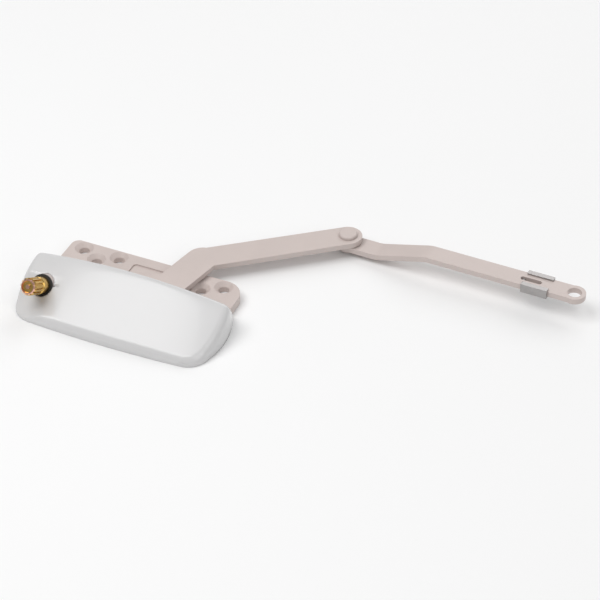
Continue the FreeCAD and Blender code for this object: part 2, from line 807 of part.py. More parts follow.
def make_bottom_plate():
    """Sheet-metal plate let into the underside, drilled for the screws and the pivot pin."""
    left = cell("pivot_x - mesh_reach + worm_outer_radius + plate_worm_gap")
    right = cell("pivot_x + plate_right")
    front = cell("pivot_y - plate_front")
    back = cell("0 - flange_front - plate_edge_gap")
    body = doc.addObject("PartDesign::Body", "bottom_plate")
    body.Label = "bottom_plate"
    sketch = sketch_on(body, "plate_outline", "XY_Plane")
    bound_outline(sketch, [(left, front), (right, front), (right, back), (left, back)])
    pad = body.newObject("PartDesign::Pad", "plate_pad")
    pad.Profile = sketch
    pad.setExpression("Length", "Sizes.plate_thick")
    doc.recompute()
    drilled = sketch_on(body, "plate_holes", "XY_Plane")
    drills = [(place, "1.30") for place in plate_screw_places()]
    drills.append((PIVOT, "Sizes.pin_radius + Sizes.seat_gap"))
    for index, (place, radius) in enumerate(drills):
        drilled.addGeometry(Part.Circle(place, Vector(0, 0, 1), drilled.evalExpression(radius)))
        drilled.addConstraint(Sketcher.Constraint("DistanceX", -1, 1, index, 3, place.x))
        drilled.addConstraint(Sketcher.Constraint("DistanceY", -1, 1, index, 3, place.y))
        which = drilled.addConstraint(
            Sketcher.Constraint("Radius", index, drilled.evalExpression(radius))
        )
        drilled.setExpression("Constraints[%d]" % which, radius)
    pocket = body.newObject("PartDesign::Pocket", "plate_drilling")
    pocket.Profile = drilled
    pocket.Type = "ThroughAll"
    pocket.Midplane = True
    body.Tip = pocket
    return body


def make_plate_screws():
    """Four small screws with thin flat heads sunk in the plate's face."""
    screws = []
    for place in plate_screw_places():
        shank = post(0.98, 0.3, 3.6, place)
        seat = Part.makeCone(1.28, 1.0, 0.9, Vector(place.x, place.y, 0.05))
        screws.append(shank.fuse(seat))
    return finish_feature("bottom_plate_screws", Part.makeCompound(screws))


def make_snap_ring():
    """Open ring that holds the upper bush in the barrel."""
    low = RING_START + size("seat_gap")
    high = RING_START + RING_THICK - size("seat_gap")
    hoop = ring(size("journal_radius") + 0.1, BUSH_OUTER + 0.18, low, high)
    gap = block((0, -1.0, low - 1.0), (HIGH, 1.0, high + 1.0))
    return finish_feature("shaft_snap_ring", hoop.cut(gap), SHAFT)


def make_pin_ring():
    """Open ring in the pivot pin's groove, above the deck."""
    low = DECK_TOP + size("run_gap")
    hoop = ring(size("pin_radius") - 0.48, size("pin_radius") + 1.4, low, low + 0.6)
    gap = block((-1.9, 0, low - 1.0), (1.9, HIGH, low + 2.0))
    return finish_feature("pivot_pin_ring", hoop.cut(gap), Placement(PIVOT, Rotation()))


def make_all():
    """Every sub-part, in the order that it would go together."""
    at_pivot = Placement(PIVOT, Rotation())
    at_knee = Placement(KNEE, Rotation())
    made = [make_case(), make_cover(), make_bottom_plate(), make_plate_screws()]

    deck = "arm_bottom + arm_thick + 0.7"
    groove = deck + " + deck_thick"
    pin = [
        ("0", "0"),
        ("pin_radius", "0"),
        ("pin_radius", groove),
        ("pin_radius - 0.5", groove),
        ("pin_radius - 0.5", groove + " + 0.7"),
        ("pin_radius", groove + " + 0.7"),
        ("pin_radius - 0.3", groove + " + 1.1"),
        ("0", groove + " + 1.1"),
    ]
    corners = [(cell(x), cell(y)) for x, y in pin]
    made.append(turned_body("pivot_pin", corners, at_pivot))
    made.append(make_pin_ring())
    made.append(ring_body(
        "hub_washer_lower", "pin_radius + 0.1", "hub_radius - 4.8",
        "plate_thick", "sector_bottom - run_gap", at_pivot,
    ))
    made.append(ring_body(
        "hub_washer_upper", "pin_radius + 0.1", "hub_radius - 4.8",
        "arm_bottom + arm_thick + run_gap", deck + " - run_gap", at_pivot,
    ))
    made.append(ring_body(
        "hub_bush", "pin_radius + run_gap", "pin_radius + run_gap + hub_bush_wall",
        "sector_bottom", "arm_bottom + arm_thick", at_pivot,
    ))
    made += [make_sector(), make_arm(), make_sector_rivets()]

    made.append(ring_body(
        "shaft_bush_upper", "journal_radius + run_gap", "journal_radius + bush_wall",
        "collar_end + run_gap", "collar_end + 1.5", SHAFT,
    ))
    made.append(ring_body(
        "shaft_bush_lower", "tail_radius + run_gap", "tail_radius + tail_bush_wall",
        "0 - tail_end", "0 - worm_half - 0.1", SHAFT,
    ))
    made.append(make_snap_ring())
    made.append(ring_body(
        "dust_seal", "journal_radius + run_gap", "nose_radius - run_gap",
        "collar_end + 2.12", "collar_end + 3.3", SHAFT,
    ))
    made.append(make_shaft())
    ball = doc.addObject("Part::Sphere", "thrust_ball")
    ball.Label = "thrust_ball"
    ball.setExpression("Radius", "Sizes.ball_radius")
    ball.Placement = Placement(SHAFT.multVec(Vector(0, 0, -BALL_CENTRE)), Rotation())
    made.append(ball)

    rivet = [
        ("0", "0.9"),
        ("rivet_head_radius - 0.3", "0.9"),
        ("rivet_head_radius - 0.3", "1.9"),
        ("rivet_radius", "1.9"),
        ("rivet_radius", "arm_bottom + arm_thick"),
        ("rivet_head_radius", "arm_bottom + arm_thick"),
        ("rivet_head_radius", "arm_bottom + arm_thick + rivet_head_height - 0.6"),
        ("rivet_head_radius - 0.6", "arm_bottom + arm_thick + rivet_head_height"),
        ("0", "arm_bottom + arm_thick + rivet_head_height"),
    ]
    corners = [(cell(x), cell(y)) for x, y in rivet]
    made.append(turned_body("link_rivet", corners, at_knee))
    link_top = "link_bottom + link_thick"
    made.append(ring_body(
        "link_washer", "rivet_radius + 0.02", "6.5",
        link_top + " + run_gap", "arm_bottom", at_knee,
    ))
    made.append(ring_body(
        "link_spring_washer", "rivet_radius + 0.02", "4.3",
        "1.9", "link_bottom - run_gap", at_knee,
    ))
    made.append(ring_body(
        "link_bush", "rivet_radius + run_gap", "rivet_radius + run_gap + 0.8",
        "link_bottom", link_top, LINK,
    ))
    made += [make_link(), make_clip()]
    return made


def main():
    """Build, check and write every sub-part."""
    made = make_all()
    doc.recompute()
    for item in doc.Objects:
        faults = [state for state in item.State if state in ("Invalid", "Error")]
        if faults:
            raise RuntimeError("%s did not compute: %s" % (item.Label, faults))
    os.makedirs("parts", exist_ok=True)
    for item in made:
        if item.Shape.isNull() or not item.Shape.isValid():
            raise RuntimeError("%s has no valid shape" % item.Label)
    for item in made:
        item.Shape.exportStep("parts/%s.step" % item.Label)
        print(item.Label, len(item.Shape.Solids), round(item.Shape.Volume, 1))


main()
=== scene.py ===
"""Casement window operator: finished surfaces, materials, stage and camera round the fixed
frame."""

import json
import math

import bmesh
import bpy
import numpy as np
from bpy.props import FloatProperty, FloatVectorProperty, IntProperty, PointerProperty
from mathutils import Matrix, Vector


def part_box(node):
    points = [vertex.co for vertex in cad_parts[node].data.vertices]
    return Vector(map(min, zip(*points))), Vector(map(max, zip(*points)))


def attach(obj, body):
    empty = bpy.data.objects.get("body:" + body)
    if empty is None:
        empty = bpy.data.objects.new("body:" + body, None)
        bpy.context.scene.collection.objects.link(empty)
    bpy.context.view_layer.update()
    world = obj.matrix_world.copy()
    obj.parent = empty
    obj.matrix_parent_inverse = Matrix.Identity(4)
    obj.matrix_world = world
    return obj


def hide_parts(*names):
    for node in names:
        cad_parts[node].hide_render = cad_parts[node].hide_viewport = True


bl_info = {
    "name": "Window Sash Operator",
    "version": (1, 0, 0),
    "blender": (4, 5, 0),
    "location": "View3D > Sidebar > Operator",
    "description": "Finished covers, arms, stud and stage for a split-arm casement operator",
    "category": "Add Mesh",
}

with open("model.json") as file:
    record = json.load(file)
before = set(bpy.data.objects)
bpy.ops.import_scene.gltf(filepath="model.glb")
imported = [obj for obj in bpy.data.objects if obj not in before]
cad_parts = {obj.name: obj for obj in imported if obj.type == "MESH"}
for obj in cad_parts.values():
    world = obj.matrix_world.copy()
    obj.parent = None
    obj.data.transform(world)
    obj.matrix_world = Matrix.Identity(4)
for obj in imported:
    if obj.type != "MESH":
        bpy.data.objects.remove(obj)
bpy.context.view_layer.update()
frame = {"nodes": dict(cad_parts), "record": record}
MM = 0.001


def node_box(node):
    """Lowest and highest corners of a node, in millimetres."""
    low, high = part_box(node)
    return np.array(low) / MM, np.array(high) / MM


JOINTS = {joint["name"]: joint for joint in frame["record"]["behaviour"]["joints"]}
SHAFT_POINT = np.array(JOINTS["crank_spin"]["pos_m"]) / MM
SHAFT_AXIS = np.array(JOINTS["crank_spin"]["axis"])
SHAFT_UP = np.cross(SHAFT_AXIS, [1.0, 0.0, 0.0])

# Foot of the cover in plan, in millimetres. Insets run in from its widest line, rises run back
# from its front, and the other values are places along Y.
COVER_LOW, COVER_HIGH = node_box("cover")
COVER_MIDDLE = (COVER_LOW[0] + COVER_HIGH[0]) / 2.0
COVER_HALF = (COVER_HIGH[0] - COVER_LOW[0]) / 2.0
COVER_FRONT = COVER_LOW[1]
COVER_BACK = -12.0
NECK_INSET = 5.9
WIDEST_PLACE = -36.0
SHOULDER_INSET = 1.9
SHOULDER_PLACE = -47.5
CORNER_INSET = 4.9
LIP_INSET = 12.5
LIP_RISE = 1.4

# Skin of the cover: where the round of its ends takes over from the round of its lip, the least
# height of the skin, and the steps of its mesh.
END_START = 38.0
END_BLEND = 12.0
LEAST_HEIGHT = 1.2
ROWS_PER_COLUMN = 0.8
OUTLINE_STEPS = 160
SKIRT_STEPS = 6
POINTS_AT_ONCE = 4000
COVER_CREASE = math.radians(50)

# Scoop at the front left of the cover. Its flat rises to the right and to the back; its right edge
# drifts outwards in front of the bend. Places and blends are in millimetres.
SCOOP_RISE_RIGHT = math.radians(16.0)
SCOOP_RISE_BACK = math.radians(26.0)
SCOOP_VALLEY = 0.6
SCOOP_EDGE = -30.5
SCOOP_EDGE_DRIFT = 0.42
SCOOP_BEND = -43.6
SCOOP_DRIFT_FROM = -4.0
SCOOP_DRIFT_TO = 60.0
SCOOP_EDGE_BLEND = 7.0
SCOOP_EDGE_SHARE = 0.35
SCOOP_BACK = -37.5
SCOOP_BACK_BLEND = 5.0

# Pocket behind the stud: how far in front of the seat it starts, in millimetres, and the width of
# its wall as a share of its radius.
POCKET_LEAD = 0.3
POCKET_WALL = 0.12

# Openings of the cover, in millimetres.
STUD_HOLE_START = 4.0
DOORWAY_LEFT = -31.0
DOORWAY_RIGHT = 49.0
DOORWAY_FRONT = -19.0
DOORWAY_TOP = 9.9
FLANGE_FRONT = -14.3
FLANGE_TOP = 5.2

# Softened copies of nodes: node, width of its rounded edges in millimetres, and body.
SOFT_NODES = (
    ("gear_case", 0.45, "base"),
    ("drive_arm", 0.35, "arm"),
    ("link_arm", 0.35, "link"),
    ("link_rivet", 0.35, "arm"),
    ("lock_clip", 0.14, "clip"),
)
MERGE_GAP = 2e-6
FLAT_ANGLE = math.radians(1.5)
SOFT_CREASE = math.radians(30)
BEVEL_ANGLE = math.radians(32)
BEVEL_STEPS = 3

# Finishes: the part of a noise's range that is used, how much finer the streaks are than the
# mottle, and where along the shaft the bare end of the stud starts, in millimetres.
NOISE_LOW = 0.3
NOISE_HIGH = 0.7
STREAK_FINENESS = 3.0
COAT_ROUGHNESS = 0.08
TIP_START = 25.9
TIP_BLEND = 0.0001

# Stage, in metres. Each lamp has a name, a place, a width and a share of the key power.
FLOOR_HALF = 3.0
FLOOR_DROP = 0.0002
ROOM_STRENGTH = 0.34
SENSOR_WIDTH = 36.0
TARGET = Vector((0.0772, 0.0062, 0.0049))
LAMPS = (
    ("key", (-0.45, -0.38, 1.2), 0.9, 2.3),
    ("fill", (0.9, -0.5, 0.8), 0.8, 0.6),
    ("back", (0.2, 1.0, 0.9), 1.0, 1.2),
)


# Settings

class CoverSettings(bpy.types.PropertyGroup):
    """Sizes of the moulded cover: lengths in millimetres, slopes as rise over run."""

    wall: FloatProperty(name="Wall", description="Thickness of the moulding", default=1.9)
    ridge_back: FloatProperty(
        name="Ridge", description="Distance of the ridge line from the origin, towards -Y",
        default=24.8,
    )
    ridge_height: FloatProperty(
        name="Ridge height", description="Height of the ridge before it is softened",
        default=21.0,
    )
    face_slope: FloatProperty(
        name="Face slope", description="Fall of the main face", default=0.4545,
    )
    back_slope: FloatProperty(
        name="Back slope", description="Rise of the back wall", default=1.25,
    )
    back_foot: FloatProperty(
        name="Back foot", description="Height of the back wall's foot", default=5.0,
    )
    crown_radius: FloatProperty(
        name="Crown", description="Radius of the crown along X", default=336.0,
    )
    end_round: FloatProperty(
        name="End rounding", description="Radius at the two ends", default=3.4,
    )
    lip_round: FloatProperty(
        name="Lip rounding", description="Radius at the front lip", default=3.0,
    )
    ridge_round: FloatProperty(
        name="Ridge rounding", description="Softness of the ridge", default=0.9,
    )
    pocket_radius: FloatProperty(
        name="Pocket", description="Radius behind the stud", default=8.0,
    )
    pocket_floor: FloatProperty(
        name="Pocket floor", description="Place of the floor along the stud", default=9.0,
    )
    hole_radius: FloatProperty(
        name="Stud hole", description="Radius of the hole round the barrel", default=5.7,
    )
    detail: IntProperty(
        name="Detail", description="Columns of the skin's grid", default=200, min=20,
    )


class FinishSettings(bpy.types.PropertyGroup):
    """Colours of the finishes, as linear values."""

    stone: FloatVectorProperty(
        name="Stone coat", description="Powder coat on case and arms",
        subtype="COLOR", default=(0.60, 0.52, 0.49), min=0.0, max=1.0,
    )
    plastic: FloatVectorProperty(
        name="Cover plastic", description="Gloss white moulding",
        subtype="COLOR", default=(0.665, 0.66, 0.662), min=0.0, max=1.0,
    )
    gold: FloatVectorProperty(
        name="Stud plating", description="Yellow passivated zinc",
        subtype="COLOR", default=(0.66, 0.42, 0.12), min=0.0, max=1.0,
    )
    stud_tip: FloatVectorProperty(
        name="Stud end", description="Copper-coloured end of the stud",
        subtype="COLOR", default=(0.80, 0.47, 0.36), min=0.0, max=1.0,
    )
    clip: FloatVectorProperty(
        name="Clip steel", description="Grey spring steel",
        subtype="COLOR", default=(0.40, 0.385, 0.38), min=0.0, max=1.0,
    )


class StageSettings(bpy.types.PropertyGroup):
    """Floor, lights and camera."""

    floor_tone: FloatProperty(
        name="Floor tone", description="Pale floor", default=0.93, min=0.0, max=1.0,
    )
    key_power: FloatProperty(
        name="Key light", description="Power that the lamps take shares of",
        default=4.4, unit="POWER",
    )
    azimuth: FloatProperty(
        name="Azimuth", description="Camera azimuth in degrees", default=24.0,
    )
    elevation: FloatProperty(
        name="Elevation", description="Camera elevation in degrees", default=39.0,
    )
    distance: FloatProperty(
        name="Distance", description="Camera distance", default=1.2, unit="LENGTH",
    )
    view_width: FloatProperty(
        name="View width", description="Width seen", default=0.294, unit="LENGTH",
    )


# Meshes

def mesh_piece(name, points, faces):
    """Object at the origin from points in millimetres and faces as index rows."""
    mesh = bpy.data.meshes.new(name)
    mesh.from_pydata((np.asarray(points) * MM).tolist(), [], [list(face) for face in faces])
    mesh.update()
    piece = bpy.data.objects.new(name, mesh)
    bpy.context.scene.collection.objects.link(piece)
    return piece


def shade_smooth(piece, angle):
    """Smooth shading with edges sharper than the angle kept crisp."""
    mesh = piece.data
    mesh.polygons.foreach_set("use_smooth", np.ones(len(mesh.polygons), dtype=bool))
    mesh.set_sharp_from_angle(angle=angle)
    mesh.update()


def soft_copy(node, width):
    """A node's mesh, merged and given rounded edges, which stands for the node."""
    source = frame["nodes"][node]
    mesh = source.data.copy()
    build = bmesh.new()
    build.from_mesh(mesh)
    bmesh.ops.remove_doubles(build, verts=build.verts, dist=MERGE_GAP)
    bmesh.ops.dissolve_limit(
        build, angle_limit=FLAT_ANGLE, verts=build.verts, edges=build.edges
    )
    build.to_mesh(mesh)
    build.free()
    mesh.materials.clear()
    piece = bpy.data.objects.new(node + "_finish", mesh)
    bpy.context.scene.collection.objects.link(piece)
    shade_smooth(piece, SOFT_CREASE)
    bevel = piece.modifiers.new("soft_edges", "BEVEL")
    bevel.width = width * MM
    bevel.segments = BEVEL_STEPS
    bevel.limit_method = "ANGLE"
    bevel.angle_limit = BEVEL_ANGLE
    bevel.harden_normals = True
    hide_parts(node)
    return piece


# Finishes

def add_node(tree, kind, x=0, y=0, **values):
    """Shader node with its named inputs or properties set."""
    made = tree.nodes.new(kind)
    made.location = (x, y)
    for key, value in values.items():
        if key in made.inputs:
            made.inputs[key].default_value = value
        else:
            setattr(made, key, value)
    return made


def grain_group(name):
    """Coat grain: fine orange peel and broad mottle, both read from Object coordinates."""
    tree = bpy.data.node_groups.new(name, "ShaderNodeTree")
    tree.interface.new_socket("Fine scale", in_out="INPUT", socket_type="NodeSocketFloat")
    tree.interface.new_socket("Broad scale", in_out="INPUT", socket_type="NodeSocketFloat")
    tree.interface.new_socket("Height", in_out="OUTPUT", socket_type="NodeSocketFloat")
    tree.interface.new_socket("Mottle", in_out="OUTPUT", socket_type="NodeSocketFloat")
    entry = add_node(tree, "NodeGroupInput", -700)
    leave = add_node(tree, "NodeGroupOutput", 500)
    place = add_node(tree, "ShaderNodeTexCoord", -700, -200)
    fine = add_node(tree, "ShaderNodeTexNoise", -400, 200, Detail=3.0, Roughness=0.55)
    broad = add_node(tree, "ShaderNodeTexNoise", -400, -100, Detail=4.0, Roughness=0.6)
    for texture in (fine, broad):
        tree.links.new(place.outputs["Object"], texture.inputs["Vector"])
    tree.links.new(entry.outputs["Fine scale"], fine.inputs["Scale"])
    tree.links.new(entry.outputs["Broad scale"], broad.inputs["Scale"])
    tree.links.new(fine.outputs["Fac"], leave.inputs["Height"])
    tree.links.new(broad.outputs["Fac"], leave.inputs["Mottle"])
    return tree


def wear_group(name):
    """Handling wear: streaks drawn out along one axis."""
    tree = bpy.data.node_groups.new(name, "ShaderNodeTree")
    tree.interface.new_socket("Stretch", in_out="INPUT", socket_type="NodeSocketVector")
    tree.interface.new_socket("Scale", in_out="INPUT", socket_type="NodeSocketFloat")
    tree.interface.new_socket("Streaks", in_out="OUTPUT", socket_type="NodeSocketFloat")
    entry = add_node(tree, "NodeGroupInput", -900)
    leave = add_node(tree, "NodeGroupOutput", 500)
    place = add_node(tree, "ShaderNodeTexCoord", -900, -200)
    draw = add_node(tree, "ShaderNodeVectorMath", -650, 100, operation="MULTIPLY")
    streak = add_node(tree, "ShaderNodeTexNoise", -400, 100, Detail=2.0)
    tree.links.new(place.outputs["Object"], draw.inputs[0])
    tree.links.new(entry.outputs["Stretch"], draw.inputs[1])
    tree.links.new(draw.outputs["Vector"], streak.inputs["Vector"])
    tree.links.new(entry.outputs["Scale"], streak.inputs["Scale"])
    tree.links.new(streak.outputs["Fac"], leave.inputs["Streaks"])
    return tree


def placed_group(tree, name, maker, y, **values):
    """The shared group of that name, made once, placed in a material."""
    box = add_node(tree, "ShaderNodeGroup", -900, y)
    box.node_tree = bpy.data.node_groups.get(name) or maker(name)
    for key, value in values.items():
        box.inputs[key.replace("_", " ")].default_value = value
    return box


def mixed_colour(tree, mask, low, high, y):
    """Colour that runs from low to high with a mask."""
    mix = add_node(tree, "ShaderNodeMix", -350, y, data_type="RGBA")
    mix.inputs["A"].default_value = (*low, 1.0)
    mix.inputs["B"].default_value = (*high, 1.0)
    tree.links.new(mask, mix.inputs["Factor"])
    return mix.outputs["Result"]


def mapped(tree, value, low, high, y):
    """Value carried from the used part of a noise's range to a new range."""
    ramp = add_node(tree, "ShaderNodeMapRange", -350, y)
    ramp.inputs["From Min"].default_value = NOISE_LOW
    ramp.inputs["From Max"].default_value = NOISE_HIGH
    ramp.inputs["To Min"].default_value = low
    ramp.inputs["To Max"].default_value = high
    tree.links.new(value, ramp.inputs["Value"])
    return ramp.outputs["Result"]


def finish(name, colour, shift, rough, metal=0.0, fine=2500.0, broad=60.0, depth=0.00002,
           stretch=(1.0, 1.0, 1.0), streak_depth=0.0, coat=0.0):
    """Material of one finish: mottled colour, uneven gloss, grain and streak relief."""
    material = bpy.data.materials.new(name)
    material.use_nodes = True
    tree = material.node_tree
    shader = tree.nodes["Principled BSDF"]
    shader.inputs["Metallic"].default_value = metal
    shader.inputs["Coat Weight"].default_value = coat
    shader.inputs["Coat Roughness"].default_value = COAT_ROUGHNESS
    grain = placed_group(
        tree, "coat_grain", grain_group, 200, Fine_scale=fine, Broad_scale=broad,
    )
    high = tuple(min(1.0, channel * (1.0 + shift)) for channel in colour)
    low = tuple(channel * (1.0 - shift) for channel in colour)
    mask = mapped(tree, grain.outputs["Mottle"], 0.0, 1.0, 500)
    tree.links.new(mixed_colour(tree, mask, low, high, 300), shader.inputs["Base Color"])
    gloss = mapped(tree, grain.outputs["Mottle"], rough[0], rough[1], 0)
    tree.links.new(gloss, shader.inputs["Roughness"])
    relief = add_node(tree, "ShaderNodeBump", -200, -400, Distance=depth)
    tree.links.new(grain.outputs["Height"], relief.inputs["Height"])
    if streak_depth:
        wear = placed_group(
            tree, "handling_wear", wear_group, -200,
            Stretch=stretch, Scale=broad * STREAK_FINENESS,
        )
        streaks = add_node(tree, "ShaderNodeBump", 0, -500, Distance=streak_depth)
        tree.links.new(wear.outputs["Streaks"], streaks.inputs["Height"])
        tree.links.new(relief.outputs["Normal"], streaks.inputs["Normal"])
        relief = streaks
    tree.links.new(relief.outputs["Normal"], shader.inputs["Normal"])
    return material


def tip_tint(material, tint):
    """Bare end of the stud: the colour changes where the distance along the shaft, the dot
    product of the place with the shaft's direction, passes the start of the end."""
    tree = material.node_tree
    shader = tree.nodes["Principled BSDF"]
    under = shader.inputs["Base Color"].links[0].from_socket
    place = add_node(tree, "ShaderNodeTexCoord", -900, 700)
    along = add_node(tree, "ShaderNodeVectorMath", -700, 700, operation="DOT_PRODUCT")
    along.inputs[1].default_value = tuple(SHAFT_AXIS)
    start = float(SHAFT_POINT @ SHAFT_AXIS + TIP_START) * MM
    edge = add_node(tree, "ShaderNodeMapRange", -500, 700)
    edge.inputs["From Min"].default_value = start - TIP_BLEND
    edge.inputs["From Max"].default_value = start + TIP_BLEND
    mix = add_node(tree, "ShaderNodeMix", -100, 500, data_type="RGBA")
    mix.inputs["B"].default_value = (*tint, 1.0)
    tree.links.new(place.outputs["Object"], along.inputs[0])
    tree.links.new(along.outputs["Value"], edge.inputs["Value"])
    tree.links.new(edge.outputs["Result"], mix.inputs["Factor"])
    tree.links.new(under, mix.inputs["A"])
    tree.links.new(mix.outputs["Result"], shader.inputs["Base Color"])
    return material


def build_finishes(colours):
    """All finishes, by the record's slot."""
    stone = tuple(colours.stone)
    stud = finish(
        "yellow_passivate", tuple(colours.gold), 0.14, (0.16, 0.30),
        metal=1.0, broad=420.0, depth=0.000012,
    )
    return {
        "stone_paint": finish(
            "stone_coat_case", stone, 0.03, (0.38, 0.50), depth=0.00005, fine=1600.0,
        ),
        "stone_paint_arm": finish(
            "stone_coat_arm", stone, 0.025, (0.36, 0.46), depth=0.00003, fine=2200.0,
        ),
        "white_plastic": finish(
            "gloss_white", tuple(colours.plastic), 0.008, (0.16, 0.24),
            depth=0.000004, fine=500.0, coat=0.25,
        ),
        "gold_zinc": tip_tint(stud, tuple(colours.stud_tip)),
        "clip_steel": finish(
            "spring_steel_grey", tuple(colours.clip), 0.10, (0.30, 0.42), metal=1.0,
            broad=300.0, stretch=(0.08, 1.0, 1.0), streak_depth=0.00001,
        ),
        "spring_steel": finish(
            "oiled_spring_steel", (0.30, 0.30, 0.32), 0.10, (0.28, 0.40), metal=1.0,
        ),
        "bright_steel": finish(
            "machined_steel", (0.56, 0.56, 0.57), 0.06, (0.22, 0.34), metal=1.0,
        ),
        "zinc_steel": finish(
            "clear_zinc", (0.62, 0.64, 0.66), 0.12, (0.30, 0.44), metal=1.0, broad=240.0,
        ),
        "bronze": finish(
            "sintered_bronze", (0.55, 0.36, 0.18), 0.12, (0.38, 0.52), metal=1.0,
        ),
        "acetal": finish("natural_acetal", (0.78, 0.77, 0.72), 0.02, (0.36, 0.46)),
        "black_rubber": finish("seal_rubber", (0.02, 0.02, 0.02), 0.15, (0.55, 0.70)),
    }


def slot_of(node):
    """The record's material slot of a node."""
    for entry in frame["record"]["subparts"]:
        if entry["node"] == node:
            return entry["material_slot"]
    raise RuntimeError("no slot for " + node)


def give_finish(piece, slot, body):
    """Material, slot and body of a finished piece."""
    piece.data.materials.clear()
    piece.data.materials.append(bpy.data.materials[bpy.context.scene["sash_finishes"][slot]])
    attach(piece, body)


# Cover

def arc_through(first, middle, last, count):
    """Points along the circle through three points, equally spaced by angle. Its centre c solves
    |a - c| = |b - c| = |d - c|, by the usual determinants."""
    a, b, c = (np.array(point, dtype=float) for point in (first, middle, last))
    d = 2 * (a[0] * (b[1] - c[1]) + b[0] * (c[1] - a[1]) + c[0] * (a[1] - b[1]))
    sq = [point @ point for point in (a, b, c)]
    centre = np.array([
        (sq[0] * (b[1] - c[1]) + sq[1] * (c[1] - a[1]) + sq[2] * (a[1] - b[1])) / d,
        (sq[0] * (c[0] - b[0]) + sq[1] * (a[0] - c[0]) + sq[2] * (b[0] - a[0])) / d,
    ])
    radius = np.linalg.norm(a - centre)
    turns = np.unwrap([math.atan2(*(point - centre)[::-1]) for point in (a, b, c)])
    angles = np.linspace(turns[0], turns[2], count)
    return centre + radius * np.stack([np.cos(angles), np.sin(angles)], axis=1)


def side_outline():
    """Right side of the cover's foot in plan, measured from its middle line: the arc of the end
    and the arc of the front corner, in order from the lip to the back."""
    shoulder = (COVER_HALF - SHOULDER_INSET, SHOULDER_PLACE)
    end = arc_through(
        (COVER_HALF - NECK_INSET, COVER_BACK), (COVER_HALF, WIDEST_PLACE), shoulder,
        OUTLINE_STEPS,
    )
    corner = arc_through(
        shoulder, (COVER_HALF - CORNER_INSET, COVER_FRONT + CORNER_INSET),
        (COVER_HALF - LIP_INSET, COVER_FRONT + LIP_RISE), OUTLINE_STEPS,
    )
    side = np.concatenate([end, corner])
    return side[np.argsort(side[:, 1])]


def cover_plan(columns):
    """Grid of x and y over the foot, in rows from the lip to the back: x = middle + half(y) u,
    where u is crowded towards both ends, and y = level - sag (1 - blend)^3, which bows the
    front rows out to the middle of the lip."""
    side = side_outline()
    lip = side[0]
    blend = np.linspace(0.0, 1.0, int(columns * ROWS_PER_COLUMN))
    spread = np.linspace(-1.0, 1.0, columns)
    level = (1.0 - blend) * lip[1] + blend * COVER_BACK
    half = np.interp(level, side[:, 1], side[:, 0])
    u = np.sin(spread * np.pi / 2.0)[None, :] * 0.5 + spread[None, :] * 0.5
    x = COVER_MIDDLE + half[:, None] * u
    sag = (lip[1] - COVER_FRONT) * (1.0 - np.clip((x - COVER_MIDDLE) / lip[0], -1, 1) ** 2)
    return x, level[:, None] - sag * (1.0 - blend[:, None]) ** 3


def rim_distance(x, y):
    """Distance of every grid point from the nearest point of the front row or a side column."""
    rim = np.concatenate([
        np.stack([x[0], y[0]], 1), np.stack([x[:, -1], y[:, -1]], 1),
        np.stack([x[:, 0], y[:, 0]], 1),
    ])
    flat = np.stack([x.ravel(), y.ravel()], 1)
    edge = np.empty(len(flat))
    for start in range(0, len(flat), POINTS_AT_ONCE):
        part = flat[start:start + POINTS_AT_ONCE, None, :] - rim[None, :, :]
        edge[start:start + POINTS_AT_ONCE] = np.sqrt((part ** 2).sum(2)).min(1)
    return edge.reshape(x.shape)


def smooth_low(first, second, soft):
    """Lower of two heights with a rounded valley between: their mean less a softened gap,
    0.5 (a + b - sqrt((a - b)^2 + s^2))."""
    return 0.5 * (first + second - np.sqrt((first - second) ** 2 + soft ** 2))


def smooth_step(share):
    """Ease from 0 to 1 with level ends: 3 t^2 - 2 t^3."""
    return share * share * (3.0 - 2.0 * share)


def cover_height(x, y, edge, edge_round, cover):
    """Height of the cover: the lower of the main face and the back slope, less the crown
    (x - middle)^2 / 2 R, less the round of the rim r (1 - sqrt(1 - (1 - edge / r)^2)), then
    lowered to the scoop's floor near the stud."""
    crown = (x - COVER_MIDDLE) ** 2 / (2.0 * cover.crown_radius)
    face = cover.ridge_height - (-cover.ridge_back - y) * cover.face_slope
    back = cover.back_foot + (COVER_BACK - y) * cover.back_slope
    top = smooth_low(face, back, cover.ridge_round * 2.0) - crown
    inside = np.clip(edge / edge_round, 0.0, 1.0)
    top = top - edge_round * (1.0 - np.sqrt(1.0 - (1.0 - inside) ** 2))
    return np.maximum(scooped(x, y, top, cover), LEAST_HEIGHT)


